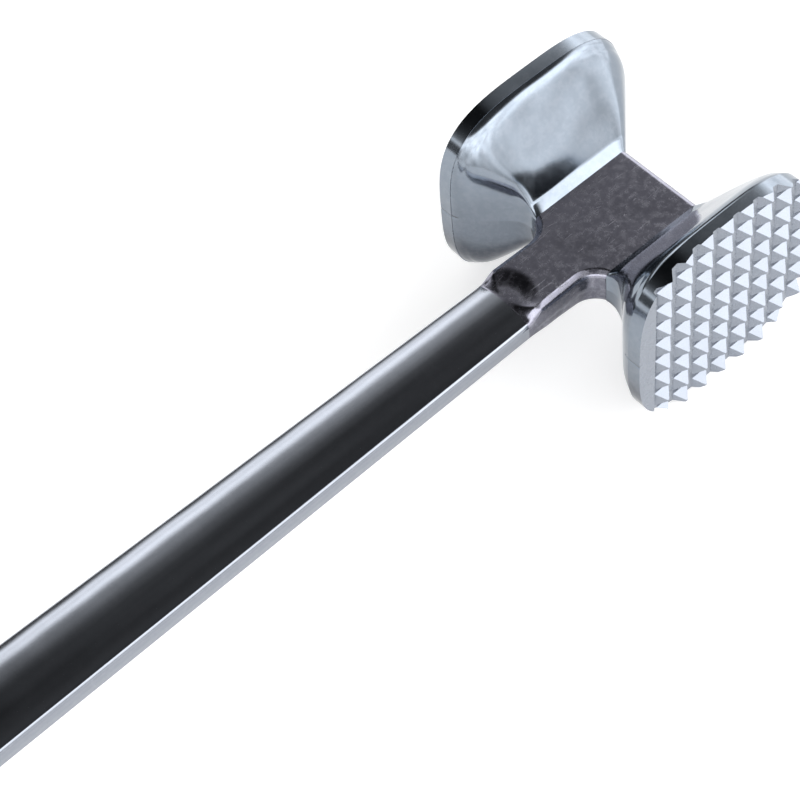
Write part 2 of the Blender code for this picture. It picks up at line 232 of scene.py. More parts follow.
def lathe(profile, segments, turn, place):
    """A closed turned shape from (radius, along) points about Z, turned and placed."""
    rings = []
    for radius, along in profile:
        ring = []
        for i in range(segments):
            angle = 2 * math.pi * i / segments
            spot = turn @ Vector((radius * math.cos(angle), radius * math.sin(angle), along))
            ring.append(Vector(place) + spot)
        rings.append(ring)
    return loft(rings)


def box_shape(low, high):
    """A closed box between two corners."""
    corners = [
        [(x, low[1], low[2]), (x, high[1], low[2]), (x, high[1], high[2]), (x, low[1], high[2])]
        for x in (low[0], high[0])
    ]
    return loft(corners)


def combine(piece, tool_builder, operation):
    """Cuts or joins a shape with a Boolean, keeps the result and drops the tool."""
    tool = object_from("tool", tool_builder, None)
    modifier = piece.modifiers.new("Cut", "BOOLEAN")
    modifier.operation = operation
    modifier.object = tool
    graph = bpy.context.evaluated_depsgraph_get()
    result = bpy.data.meshes.new_from_object(piece.evaluated_get(graph))
    piece.modifiers.clear()
    result.name = piece.name
    piece.data = result
    bpy.data.objects.remove(tool, do_unlink=True)


def finish_piece(piece, node):
    """Smooth shading with crisp creases, then the piece rides the root body and its CAD node is
    hidden.
    """
    piece.data.shade_smooth()
    piece.data.set_sharp_from_angle(angle=SHARP_ANGLE)
    weighted = piece.modifiers.new("Weighted normals", "WEIGHTED_NORMAL")
    weighted.keep_sharp = True
    weighted.weight = NORMAL_WEIGHT
    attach(piece, "root")
    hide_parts(node)
    return piece


# ------------------------------------------------------------------ head shapes


def quadrant_shares():
    """Places along a quarter of an outline, crowded by the parting line at its start."""
    start = 2 * PARTING_SHARE
    rest = [start + (1 - start) * (i + 1) / QUADRANT_STEPS for i in range(QUADRANT_STEPS)]
    return [0.0, PARTING_SHARE, start] + rest


def quadrant(half_length, half_height, squareness):
    """A quarter superellipse from its end on X to its end on Z, evenly spaced."""
    curve = []
    for step in range(QUADRANT_SAMPLES + 1):
        angle = math.pi / 2 * step / QUADRANT_SAMPLES
        x = half_length * max(0.0, math.cos(angle)) ** (2 / squareness)
        z = half_height * max(0.0, math.sin(angle)) ** (2 / squareness)
        curve.append((x, z))
    lengths = [0.0]
    for first, second in zip(curve, curve[1:]):
        lengths.append(lengths[-1] + math.dist(first, second))
    points = []
    at = 0
    for share in quadrant_shares():
        target = share * lengths[-1]
        while at < QUADRANT_SAMPLES - 1 and lengths[at + 1] < target:
            at += 1
        span = max(lengths[at + 1] - lengths[at], 1e-12)
        blend = min(1.0, (target - lengths[at]) / span)
        points.append(tuple(a + (b - a) * blend for a, b in zip(curve[at], curve[at + 1])))
    return points


def outline(near, far, half_height, squareness, y, draft=0.0, parting=0.0):
    """A ring in the XZ plane. The draft slims both ends away from mid-height.

    The parting is the depth of the groove where the die halves met.
    """
    centre = (near + far) / 2
    half_length = (far - near) / 2
    corner = quadrant(half_length, half_height, squareness)
    ring = list(corner)
    ring += [(-x, z) for x, z in reversed(corner[:-1])]
    ring += [(-x, -z) for x, z in corner[1:]]
    ring += [(x, -z) for x, z in reversed(corner[1:-1])]
    shaped = []
    for x, z in ring:
        slim = draft * abs(z) * min(1.0, abs(x) / (DRAFT_FADE * half_length))
        notch = parting if abs(z) < PARTING_HALF_HEIGHT else 0.0
        shaped.append((centre + x - math.copysign(slim + notch, x), y, z))
    return shaped


def soft_lower(first, second, width):
    """The lower of two values, with a short blend where they cross."""
    overlap = max(width - abs(first - second), 0.0) / width
    return min(first, second) - overlap * overlap * width / 4


def arch_x(y):
    """Where the arch beside the neck lies at the distance y from the middle."""
    off_centre = NECK_HALF_WIDTH + ARCH_RADIUS - y
    return ARCH_START + math.sqrt(ARCH_RADIUS**2 - off_centre**2)


def flare_ring(y):
    """One section of a head: an arch and a flared back that rounds into the rim."""
    leaves_arch = NECK_HALF_WIDTH + ARCH_RADIUS * (1 + math.sin(math.pi / 4))
    if y < leaves_arch:
        near = arch_x(y)
    else:
        near = -soft_lower(-RIM_NEAR, y + NEAR_FLANK_OFFSET, RIM_ROUNDING)
    far = soft_lower(RIM_FAR, y + FAR_FLANK_OFFSET, RIM_ROUNDING)
    root_height = BRIDGE_TOP + ROOT_SLOPE * (ROOT_END - HEAD_SEAM)
    if y < ROOT_END:
        half_height = root_height - ROOT_SLOPE * (ROOT_END - y)
    else:
        half_height = root_height + FLANK_SLOPE * (y - ROOT_END)
        half_height = soft_lower(RIM_HALF_HEIGHT, half_height, TOP_ROUNDING)
    along = min(1.0, (y - HEAD_SEAM) / (SQUARENESS_END - HEAD_SEAM))
    squareness = ROOT_SQUARENESS + (RIM_SQUARENESS - ROOT_SQUARENESS) * along**0.5
    parting = PARTING_DEPTH if y > PARTING_START else 0.0
    return outline(near, far, half_height, squareness, y, DIE_DRAFT * (1 - along), parting)


def rim_ring(grow, y, parting=0.0):
    """The rim's outline at y, grown all around."""
    half_height = RIM_HALF_HEIGHT + grow
    return outline(RIM_NEAR - grow, RIM_FAR + grow, half_height, RIM_SQUARENESS, y, parting=parting)


def on_side(rings, side):
    """Rings for +Y as they are, or mirrored for the head on -Y."""
    return [[(x, side * y, z) for x, y, z in ring] for ring in rings]


def evenly(start, end, steps):
    """Values from start to end, both included."""
    return [start + (end - start) * i / steps for i in range(steps + 1)]


def build_head(name, node, side, material):
    """A head casting with its boss recess and the bore for the tie stud."""
    rings = [flare_ring(y) for y in evenly(HEAD_SEAM + SEAM_GAP, ROOT_END, ROOT_RINGS)]
    rings += [flare_ring(y) for y in evenly(ROOT_END, RIM_SEAM - SEAM_GAP, FLARE_RINGS)[1:]]
    head = object_from(name, loft(on_side(rings, side)), material)
    depths = (BOSS_BACK - RECESS_GAP, RIM_SEAM + 2 * CUT_MARGIN)
    recess = [rim_ring(RECESS_GAP - BOSS_MARGIN, y) for y in depths]
    combine(head, loft(on_side(recess, side)), "DIFFERENCE")
    turn = Matrix.Rotation(-side * math.pi / 2, 4, "X")
    bore = stud_bore(HEAD_SEAM - CUT_MARGIN, STUD_HIGH.y + FIT_GAP, turn)
    combine(head, bore, "DIFFERENCE")
    return finish_piece(head, node)


def stud_bore(start, end, turn):
    """A round cutter for the tie stud, drawn along Z and turned onto Y."""
    radius = (STUD_HIGH.x - STUD_LOW.x) / 2 + FIT_GAP
    return lathe([(radius, start), (radius, end)], BORE_SEGMENTS, turn, (0, 0, 0))


# ------------------------------------------------------------------ tooth plates


def field_lines(start, pitch, count):
    """Grid lines over a row of teeth, with a flat strip between neighbours."""
    strip = pitch * (1 - TOOTH_BASE_SHARE) / 2
    lines = []
    for i in range(count):
        lines.append(start + pitch * i + strip)
        lines.append(start + pitch * (i + 1) - strip)
    return lines


def add_tooth(builder, corners):
    """Four flanks and a small blunt top over one cell of the field."""
    middle = sum((corner.co for corner in corners), Vector()) / 4
    top = []
    for corner in corners:
        spot = middle + (corner.co - middle) * TOOTH_BLUNTNESS
        spot.y = TOOTH_TIP
        top.append(builder.verts.new(spot))
    builder.faces.new(top)
    for k in range(4):
        following = (k + 1) % 4
        builder.faces.new((corners[k], corners[following], top[following], top[k]))


def fine_block():
    """A block with pyramids on a sunk field on its +Y side, and a border beside it."""
    builder = bmesh.new()
    valley = TOOTH_TIP - FINE_HEIGHT
    limit = RIM_HALF_HEIGHT + BLOCK_MARGIN
    bottom = -FINE_PITCH * FINE_ROWS / 2 + FINE_ROW_SHIFT
    border_end = TOOTH_FIELD_NEAR - BORDER_LEAN
    across = [RIM_NEAR - BLOCK_MARGIN, border_end, TOOTH_FIELD_NEAR]
    across += field_lines(TOOTH_FIELD_NEAR, FINE_PITCH, FINE_COLUMNS) + [RIM_FAR + BLOCK_MARGIN]
    upward = [-limit] + field_lines(bottom, FINE_PITCH, FINE_ROWS) + [limit]

    grid = []
    for x in across:
        level = BORDER_FRONT if x <= border_end else valley
        grid.append([builder.verts.new(to_world((x, level, z))) for z in upward])
    for i in range(len(across) - 1):
        for j in range(len(upward) - 1):
            corners = [grid[i][j], grid[i + 1][j], grid[i + 1][j + 1], grid[i][j + 1]]
            in_field = 2 < i < len(across) - 2
            if in_field and i % 2 and j % 2:
                add_tooth(builder, corners)
            else:
                builder.faces.new(corners)
    edge = [grid[i][0] for i in range(len(across) - 1)]
    edge += [grid[-1][j] for j in range(len(upward) - 1)]
    edge += [grid[i][-1] for i in range(len(across) - 1, 0, -1)]
    edge += [grid[0][j] for j in range(len(upward) - 1, 0, -1)]
    back = []
    for vert in edge:
        spot = vert.co.copy()
        spot.y = BOSS_BACK - 2 * CUT_MARGIN
        back.append(builder.verts.new(spot))
    for i, vert in enumerate(edge):
        following = (i + 1) % len(edge)
        builder.faces.new((vert, edge[following], back[following], back[i]))
    builder.faces.new(back)
    return builder


def inside_rim(x, z, grow):
    """Whether a place on the face lies inside the rim's outline, grown all around."""
    across = (x - (RIM_NEAR + RIM_FAR) / 2) / ((RIM_FAR - RIM_NEAR) / 2 + grow)
    upward = z / (RIM_HALF_HEIGHT + grow)
    return abs(across) ** RIM_SQUARENESS + abs(upward) ** RIM_SQUARENESS < 1


def coarse_teeth():
    """Separate pyramids for every cell of the coarse grid that lies inside the border."""
    builder = bmesh.new()
    middle_x = (RIM_NEAR + RIM_FAR) / 2
    half = COARSE_PITCH * TOOTH_BASE_SHARE / 2
    base = TOOTH_TIP - COARSE_HEIGHT - TOOTH_SINK
    spread = half * (COARSE_HEIGHT + TOOTH_SINK) / COARSE_HEIGHT
    turns = ((-1, -1), (1, -1), (1, 1), (-1, 1))
    from_middle = (COARSE_COUNT - 1) / 2
    for i in range(COARSE_COUNT):
        for j in range(COARSE_COUNT):
            x = middle_x + COARSE_PITCH * (i - from_middle)
            z = COARSE_PITCH * (j - from_middle)
            if not all(inside_rim(x + a * half, z + b * half, -COARSE_BORDER) for a, b in turns):
                continue
            corners = []
            for a, b in turns:
                corners.append(builder.verts.new(to_world((x + a * spread, base, z + b * spread))))
            builder.faces.new(corners)
            add_tooth(builder, corners)
    return builder


def mark_front_creases(plate):
    """Gives a bevel weight to the creases of the striking face only."""
    builder = bmesh.new()
    builder.from_mesh(plate.data)
    weights = builder.edges.layers.float.new("bevel_weight_edge")
    for edge in builder.edges:
        in_front = min(abs(vert.co.y) for vert in edge.verts) > FACE_START
        if in_front and edge.is_manifold and edge.calc_face_angle() > CREASE_ANGLE:
            edge[weights] = 1.0
    builder.to_mesh(plate.data)
    builder.free()


def plate_body(front):
    """The face outline from its seam to the front, with the boss behind it."""
    rings = [rim_ring(-BOSS_MARGIN, y) for y in (BOSS_BACK, RIM_SEAM + SEAM_GAP)]
    rings += [rim_ring(0.0, y, PARTING_DEPTH) for y in (RIM_SEAM + SEAM_GAP, front)]
    return loft(rings)


def finish_plate(plate, node, materials):
    """The rim's metal on the outline, softened edges on the face, then the piece rides the root
    body and its CAD node is hidden.
    """
    plate.data.materials.clear()
    for material in materials:
        plate.data.materials.append(material)
    for face in plate.data.polygons:
        on_outline = abs(face.normal.y) < WALL_TILT and abs(face.center.y) < BORDER_FRONT
        face.material_index = 1 if on_outline else 0
    mark_front_creases(plate)
    soften = plate.modifiers.new("Cast edges", "BEVEL")
    soften.width = TOOTH_EDGE
    soften.segments = 2
    soften.limit_method = "WEIGHT"
    return finish_piece(plate, node)


def build_fine_plate(materials):
    """The fine face: its teeth run out through the outline at the top and the bottom."""
    plate = object_from("fine_tooth_face", fine_block(), materials[0])
    combine(plate, plate_body(TOOTH_TIP + CUT_MARGIN), "INTERSECT")
    plate.data.transform(Matrix.Diagonal((1, -1, 1, 1)))
    plate.data.flip_normals()
    return finish_plate(plate, "fine_tooth_plate", materials)


def build_coarse_plate(materials):
    """The coarse face: pyramids standing in a pocket with a border all around."""
    plate = object_from("coarse_tooth_face", plate_body(BORDER_FRONT), materials[0])
    depths = (TOOTH_TIP - COARSE_HEIGHT, BORDER_FRONT + CUT_MARGIN)
    pocket = [rim_ring(-COARSE_BORDER, y) for y in depths]
    combine(plate, loft(pocket), "DIFFERENCE")
    combine(plate, coarse_teeth(), "UNION")
    return finish_plate(plate, "coarse_tooth_plate", materials)


# ------------------------------------------------------------- bridge and handle


def bar_top(half_width, crest, fillet):
    """The height of the handle's domed top, rounded over at both sides."""
    rise = crest - SIDE_HALF_HEIGHT
    reach = half_width - fillet
    lean = math.atan(2 * rise * reach / half_width**2)
    start = half_width - fillet * (1 - math.sin(lean))

    def height(y):
        if abs(y) < start:
            return SIDE_HALF_HEIGHT + rise * (1 - (y / half_width) ** 2)
        edge = SIDE_HALF_HEIGHT + rise * (1 - (start / half_width) ** 2) - fillet * math.cos(lean)
        return edge + math.sqrt(max(0.0, fillet**2 - (abs(y) - reach) ** 2))

    return height


def bar_ring(x, half_width, top, under):
    """A section through the bridge or the handle, crowded toward its rounded edges.

    The side walls lean out by the die draft toward mid-height.
    """
    halves = []
    for surface in (top, under):
        half = []
        for turn in evenly(-math.pi / 2, math.pi / 2, SECTION_STEPS):
            y = half_width * math.sin(turn)
            half.append((y, surface(y)))
        wall_top = half[-1][1]
        levels = evenly(wall_top, 0.0, WALL_STEPS)[1:]
        wall = [(half_width + DIE_DRAFT * (wall_top - z), z) for z in levels]
        halves.append([(-y, z) for y, z in reversed(wall)] + half + wall)
    lower = [(y, -z) for y, z in reversed(halves[1][1:-1])]
    return [(x, y, z) for y, z in halves[0] + lower]


def smooth_step(value, low, high):
    """A smooth rise from 0 at low to 1 at high."""
    share = min(1.0, max(0.0, (value - low) / (high - low)))
    return share * share * (3 - 2 * share)


def neck_half_width(x):
    """Half the width of the neck, then of its arches, then of the bridge."""
    if x <= ARCH_START:
        share = (ARCH_START - x) / (ARCH_START - NECK_END)
        return NECK_HALF_WIDTH + (HANDLE_NECK_HALF_WIDTH - NECK_HALF_WIDTH) * share
    if x >= arch_x(HEAD_SEAM - SEAM_GAP):
        return HEAD_SEAM - SEAM_GAP
    return NECK_HALF_WIDTH + ARCH_RADIUS - math.sqrt(ARCH_RADIUS**2 - (x - ARCH_START) ** 2)


def edge_distance(x, y):
    """How far a place on the bridge is from the wall of the neck or of its arch."""
    if x <= ARCH_START:
        return neck_half_width(x) - abs(y)
    off_centre = NECK_HALF_WIDTH + ARCH_RADIUS - abs(y)
    return math.hypot(x - ARCH_START, off_centre) - ARCH_RADIUS


def filleted(height, x, y, fillet):
    """Lets a height down in a quarter circle where the wall is nearer than the fillet."""
    inward = fillet - max(0.0, edge_distance(x, y))
    if inward <= 0:
        return height
    return height - fillet + math.sqrt(fillet**2 - inward**2)


def chamfered(height, x, y):
    """Lets a height down in a slope that rounds over into the wall."""
    rounding = CHAMFER_ROUND * (1 - math.sin(CHAMFER_SLOPE))
    inward = CHAMFER_WIDTH + rounding - max(0.0, edge_distance(x, y))
    if inward <= 0:
        return height
    if inward < CHAMFER_WIDTH:
        return height - inward * math.tan(CHAMFER_SLOPE)
    height -= CHAMFER_WIDTH * math.tan(CHAMFER_SLOPE) + CHAMFER_ROUND * math.cos(CHAMFER_SLOPE)
    across = CHAMFER_ROUND * math.sin(CHAMFER_SLOPE) + inward - CHAMFER_WIDTH
    return height + math.sqrt(max(0.0, CHAMFER_ROUND**2 - across**2))


def neck_top(x, y):
    """The bridge's top: flat, dished where it meets the handle, with sloping edges."""
    width = neck_half_width(x)
    from_scoop = math.hypot(x - SCOOP_X, y)
    rise = smooth_step(from_scoop, SCOOP_FLOOR_RADIUS, SCOOP_RADIUS)
    dished = chamfered(CREST_AT_NECK + (BRIDGE_TOP - CREST_AT_NECK) * rise, x, y)
    fade = DOME_FADE + (DOME_FADE_AT_EDGE - DOME_FADE) * (y / width) ** 2
    settled = smooth_step(x, NECK_END, NECK_END + fade)
    handle_top = bar_top(width, CREST_AT_NECK, HANDLE_FILLET)(y)
    return handle_top + (dished - handle_top) * settled


def neck_under(x, y):
    """The bridge's underside as a depth: rounder at the neck than at the arches."""
    settled = smooth_step(x, NECK_END, NECK_END + UNDER_FADE)
    handle_under = bar_top(neck_half_width(x), CREST_AT_NECK, HANDLE_FILLET)(y)
    tightened = smooth_step(x, NECK_END + UNDER_FADE, ARCH_START + ARCH_RADIUS)
    fillet = UNDER_FILLET + (NECK_FILLET - UNDER_FILLET) * tightened
    return handle_under + (filleted(BRIDGE_TOP, x, y, fillet) - handle_under) * settled


def neck_ring(x):
    return bar_ring(x, neck_half_width(x), lambda y: neck_top(x, y), lambda y: neck_under(x, y))


def bridge_rings():
    """Sections from the handle's seam to the far end, which rounds over at its top."""
    arch_end = arch_x(HEAD_SEAM - SEAM_GAP)
    shoulder_end = arch_end + SHOULDER_LENGTH
    turned = math.asin((arch_end - ARCH_START) / ARCH_RADIUS)
    angles = evenly(0.0, turned, ARCH_RINGS)[1:]
    places = evenly(NECK_END, ARCH_START, NECK_RINGS)
    places += [ARCH_START + ARCH_RADIUS * math.sin(angle) for angle in angles]
    places += evenly(arch_end, shoulder_end, SHOULDER_RINGS)[1:]
    places += evenly(shoulder_end, BRIDGE_FAR - BRIDGE_FAR_EDGE, DECK_RINGS)[1:]
    rings = [neck_ring(x) for x in places]
    for angle in evenly(0.0, math.pi / 2, FAR_EDGE_RINGS)[1:]:
        drop = BRIDGE_FAR_EDGE * (1 - math.cos(angle))
        x = BRIDGE_FAR - BRIDGE_FAR_EDGE * (1 - math.sin(angle))
        lowered = []
        for _, y, z in rings[len(places) - 1]:
            share = z / BRIDGE_TOP
            lowered.append((x, y, z - drop * share))
        rings.append(lowered)
    return rings


def build_bridge(material):
    """The bridge and neck, bored for the stud and the pin and socketed for the tang."""
    bridge = object_from("bridge_casting", loft(bridge_rings()), material)
    socket = box_shape(
        (NECK_END - CUT_MARGIN, -TANG_HALF_WIDTH - FIT_GAP, -TANG_HALF_HEIGHT - FIT_GAP),
        (NECK_END + TANG_LENGTH + FIT_GAP, TANG_HALF_WIDTH + FIT_GAP, TANG_HALF_HEIGHT + FIT_GAP),
    )
    combine(bridge, socket, "DIFFERENCE")
    reach = HEAD_SEAM + CUT_MARGIN
    combine(bridge, stud_bore(-reach, reach, Matrix.Rotation(math.pi / 2, 4, "X")), "DIFFERENCE")
    combine(bridge, pin_hole(), "DIFFERENCE")
    return finish_piece(bridge, "head_bridge")


def pin_hole():
    """A cutter for the neck pin, from below the bridge to just over the pin."""
    pin_x = (PIN_LOW.x + PIN_HIGH.x) / 2 - HEAD_MIDDLE.x
    radius = (PIN_HIGH.x - PIN_LOW.x) / 2 + FIT_GAP
    top = PIN_HIGH.z - HEAD_MIDDLE.z + FIT_GAP
    profile = [(radius, -BRIDGE_TOP - CUT_MARGIN), (radius, top)]
    return lathe(profile, BORE_SEGMENTS, Matrix.Identity(4), (pin_x, 0, 0))


def handle_half_width(x):
    """Half the handle's width, which grows evenly from the neck to the tip."""
    share = (x - HANDLE_SEAM) / (HANDLE_TIP - HANDLE_SEAM)
    return HANDLE_NECK_HALF_WIDTH + (HANDLE_END_HALF_WIDTH - HANDLE_NECK_HALF_WIDTH) * share


def handle_rings():
    """Sections of the bar from its seam to the round end."""
    round_start = HANDLE_TIP + HANDLE_END_HALF_WIDTH
    rings = []
    for x in evenly(HANDLE_SEAM, round_start, HANDLE_RINGS):
        share = (x - HANDLE_SEAM) / (round_start - HANDLE_SEAM)
        crest = CREST_AT_NECK + (CREST_AT_END - CREST_AT_NECK) * share
        width = handle_half_width(x)
        top = bar_top(width, crest, HANDLE_FILLET)
        rings.append(bar_ring(x, width, top, top))
    widest = handle_half_width(round_start)
    for angle in evenly(0.0, END_SWEEP, HANDLE_END_RINGS)[1:]:
        x = round_start - HANDLE_END_HALF_WIDTH * math.sin(angle) / math.sin(END_SWEEP)
        width = widest * math.cos(angle)
        crest = SIDE_HALF_HEIGHT + (CREST_AT_END - SIDE_HALF_HEIGHT) * math.cos(angle) ** 0.5
        top = bar_top(width, crest, min(HANDLE_FILLET, width * END_FILLET_SHARE))
        rings.append(bar_ring(x, width, top, top))
    return rings


def build_handle(material):
    """The tapered bar with its tang, pin hole and flared hanging hole."""
    bar = object_from("handle_bar", loft(handle_rings()), material)
    tang = box_shape(
        (HANDLE_SEAM - TANG_OVERLAP, -TANG_HALF_WIDTH, -TANG_HALF_HEIGHT),
        (NECK_END + TANG_LENGTH, TANG_HALF_WIDTH, TANG_HALF_HEIGHT),
    )
    combine(bar, tang, "UNION")
    combine(bar, pin_hole(), "DIFFERENCE")
    combine(bar, hanging_hole(), "DIFFERENCE")
    return finish_piece(bar, "handle")


def hanging_hole():
    """A cutter for the hanging hole, flared the same at its top and bottom."""
    hole_top = CREST_AT_END - HOLE_INSET
    profile = [(HANGING_HOLE_RADIUS + HOLE_FLARE + LID_MARGIN, CREST_AT_END + CUT_MARGIN)]
    for angle in evenly(0.0, math.pi / 2, HOLE_FLARE_STEPS):
        spread = HANGING_HOLE_RADIUS + HOLE_FLARE * (1 - math.sin(angle))
        profile.append((spread, hole_top - HOLE_FLARE * (1 - math.cos(angle))))
    profile += [(radius, -along) for radius, along in reversed(profile)]
    place = (HANDLE_TIP + HANGING_HOLE_INSET, 0, 0)
    return lathe(profile, HOLE_SEGMENTS, Matrix.Identity(4), place)


# -------------------------------------------------------------------- materials

SCRATCH_ANGLES = (0.35, 1.25, 2.2, 2.75)
SCRATCH_WIDTH = (0.001, 0.005)
SCRATCH_PATCHES = (0.58, 0.68)
SCRATCH_COLOUR = (0.80, 0.82, 0.86, 1.0)
# The colour of the painted shade laid on surfaces that look down.
SHADED_COLOUR = (0.05, 0.055, 0.07, 1.0)
SPECKLE_COLOUR = (0.60, 0.60, 0.66, 1.0)
CLOUD_DARKENING = 0.86
GRAIN_DEPTH = 0.00002

# For each kind of painted shade on surfaces that look down: where it starts, where it is full, and
# its strength
LIGHT_SHADING = (0.0, -0.4, 0.2)
HEAD_SHADING = (0.05, -0.14, 0.80)
BRIDGE_SHADING = (0.25, -0.05, 0.60)

# Colour, roughness, depth of the waves in mm, share of scratches, mottle and painted shade
METALS = {
    "bridge_polish": ((0.25, 0.250, 0.305), 0.18, 0.35, 0.22, 1.6, BRIDGE_SHADING),
    "head_polish": ((0.235, 0.270, 0.315), 0.13, 1.5, 0.02, 0.5, HEAD_SHADING),
    "handle_polish": ((0.285, 0.305, 0.345), 0.10, 0.3, 0.02, 0.4, LIGHT_SHADING),
    "tooth_polish": ((0.28, 0.305, 0.35), 0.26, 0.3, 0.02, 0.4, LIGHT_SHADING),
    "joinery_steel": ((0.40, 0.40, 0.42), 0.30, 0.2, 0.10, 0.4, LIGHT_SHADING),
}


class Nodes:
    """Short calls for laying out shader nodes."""

    def __init__(self, tree):
        self.tree = tree
        self.tree.nodes.clear()

    def add(self, kind, **inputs):
        node = self.tree.nodes.new(kind)
        for name, value in inputs.items():
            self.feed(node, name.replace("_", " "), value)
        return node

    def feed(self, node, socket, value):
        target = node.inputs[socket]
        if isinstance(value, bpy.types.NodeSocket):
            self.tree.links.new(value, target)
        else:
            target.default_value = value

    def math(self, operation, first, second=0.0, third=0.0):
        node = self.tree.nodes.new("ShaderNodeMath")
        node.operation = operation
        for socket, value in zip(node.inputs, (first, second, third)):
            if isinstance(value, bpy.types.NodeSocket):
                self.tree.links.new(value, socket)
            else:
                socket.default_value = value
        return node.outputs[0]

    def step(self, value, low, high):
        """A smooth rise from 0 at low to 1 at high."""
        node = self.add("ShaderNodeMapRange")
        node.interpolation_type = "SMOOTHSTEP"
        for socket, given in (("Value", value), ("From Min", low), ("From Max", high)):
            self.feed(node, socket, given)
        return node.outputs["Result"]

    def mix(self, share, first, second):
        node = self.tree.nodes.new("ShaderNodeMix")
        node.data_type = "RGBA"
        for socket, value in ((0, share), (6, first), (7, second)):
            if isinstance(value, bpy.types.NodeSocket):
                self.tree.links.new(value, node.inputs[socket])
            else:
                node.inputs[socket].default_value = value
        return node.outputs[2]

    def noise(self, place, scale, detail, roughness=0.5):
        node = self.add("ShaderNodeTexNoise", Vector=place)
        for socket, given in (("Scale", scale), ("Detail", detail), ("Roughness", roughness)):
            self.feed(node, socket, given)
        return node.outputs["Fac"]

    def stretched(self, place, angle, scale):
        """The place turned about Z and stretched, for streaks along one direction."""
        node = self.add("ShaderNodeMapping", Vector=place)
        node.inputs["Rotation"].default_value = (0.0, 0.0, angle)
        node.inputs["Scale"].default_value = scale
        return node.outputs["Vector"]


def scratches(nodes, place, turn):
    """Thin handling scratches at a few angles, 1 on a line and 0 between.

    Each line follows the middle level of a stretched noise, and shows only in patches.
    """
    for i, angle in enumerate(SCRATCH_ANGLES):
        streak = nodes.stretched(place, angle + turn, (30.0, 190.0 + 40.0 * i, 30.0))
        level = nodes.noise(streak, 1.0, 1.5)
        distance = nodes.math("ABSOLUTE", nodes.math("SUBTRACT", level, 0.5))
        line = nodes.math("SUBTRACT", 1.0, nodes.step(distance, *SCRATCH_WIDTH))
        patch = nodes.step(nodes.noise(place, 90.0 + 35.0 * i, 1.0), *SCRATCH_PATCHES)
        lit = nodes.math("MULTIPLY", line, patch)
        total = lit if i == 0 else nodes.math("MAXIMUM", total, lit)
    return total


def polished_metal(name, colour, roughness, waviness, scratch_share, mottle, shading):
    """Polished cast metal: uneven sheen, faint waves, pores and handling scratches.

    The shading is painted shade: it darkens surfaces that look down. It holds the upward
    share of the normal where it starts, the share where it is full, and its strength.
    """
    material = bpy.data.materials.new(name)
    material.use_nodes = True
    nodes = Nodes(material.node_tree)
    place = nodes.add("ShaderNodeTexCoord").outputs["Object"]
    cloudy = nodes.noise(place, 140.0, 4.0)
    fine = nodes.noise(place, 1400.0, 3.0, 0.6)
    wave = nodes.noise(place, 70.0, 1.0)
    speckle = nodes.step(nodes.noise(place, 520.0, 6.0, 0.75), 0.42, 0.62)
    # The scratches are turned by the waviness, so that each metal has its own pattern.
    lines = scratches(nodes, place, waviness)

    tone = nodes.math("MULTIPLY_ADD", cloudy, mottle, 1.0 - mottle / 2)
    dark = tuple(channel * CLOUD_DARKENING for channel in colour) + (1.0,)
    shade = nodes.mix(tone, dark, (*colour, 1.0))
    shade = nodes.mix(nodes.math("MULTIPLY", lines, 1.1 * scratch_share), shade, SCRATCH_COLOUR)
    # Painted shade: surfaces whose normal looks down are darkened toward SHADED_COLOUR.
    geometry = nodes.add("ShaderNodeNewGeometry")
    facing = nodes.add("ShaderNodeSeparateXYZ", Vector=geometry.outputs["Normal"])
    shading_start, shading_full, shading_strength = shading
    under = nodes.step(facing.outputs["Z"], shading_start, shading_full)
    shade = nodes.mix(nodes.math("MULTIPLY", under, shading_strength), shade, SHADED_COLOUR)
    shade = nodes.mix(nodes.math("MULTIPLY", speckle, 0.12 * mottle), shade, SPECKLE_COLOUR)

    gloss = nodes.math("MULTIPLY_ADD", cloudy, 0.5 * roughness, 0.75 * roughness)
    gloss = nodes.math("MULTIPLY_ADD", lines, scratch_share, gloss)
    gloss = nodes.math("MULTIPLY_ADD", speckle, 0.35 * mottle * roughness, gloss)

    bumps = nodes.add("ShaderNodeBump", Strength=0.35, Distance=waviness * 0.001, Height=wave)
    grain = nodes.add("ShaderNodeBump", Strength=0.12, Distance=GRAIN_DEPTH, Height=fine)
    nodes.feed(grain, "Normal", bumps.outputs["Normal"])
    scored = nodes.add("ShaderNodeBump", Strength=scratch_share, Distance=GRAIN_DEPTH, Height=lines)
    scored.invert = True
    nodes.feed(scored, "Normal", grain.outputs["Normal"])

    shader = nodes.add("ShaderNodeBsdfPrincipled", Metallic=1.0)
    nodes.feed(shader, "Base Color", shade)
    nodes.feed(shader, "Roughness", gloss)
    nodes.feed(shader, "Normal", scored.outputs["Normal"])
    output = nodes.add("ShaderNodeOutputMaterial", Surface=shader.outputs["BSDF"])
    output.is_active_output = True
    return material


# ------------------------------------------------------------------------ studio

FLOOR_GLOW = 0.48
FLOOR_SHADE = 0.80
FLOOR_HALF_SIZE = 4.0
FLOOR_GAP = 0.0001
WORLD_PEAK = 3.2
LAMP_COUNT = 6
LAMP_CIRCLE = 1.3
LAMP_HEIGHT = 0.9
LAMP_SIZE = 1.0
LAMP_WATTS = 1.0

# Brightness of the room against the sine of the elevation, as a share of WORLD_PEAK
FAR_WALL = ((0.0, 0.04), (0.25, 0.05), (0.34, 0.80), (0.45, 0.85), (0.54, 0.55), (0.60, 0.31))
FAR_WALL += ((0.68, 0.17), (0.75, 0.10), (0.82, 0.065), (0.90, 0.030), (1.0, 0.030))
NEAR_WALL = ((0.0, 0.32), (0.17, 0.50), (0.34, 0.70), (0.45, 1.0), (0.69, 1.0), (0.74, 0.25))
NEAR_WALL += ((0.78, 0.03), (1.0, 0.025))

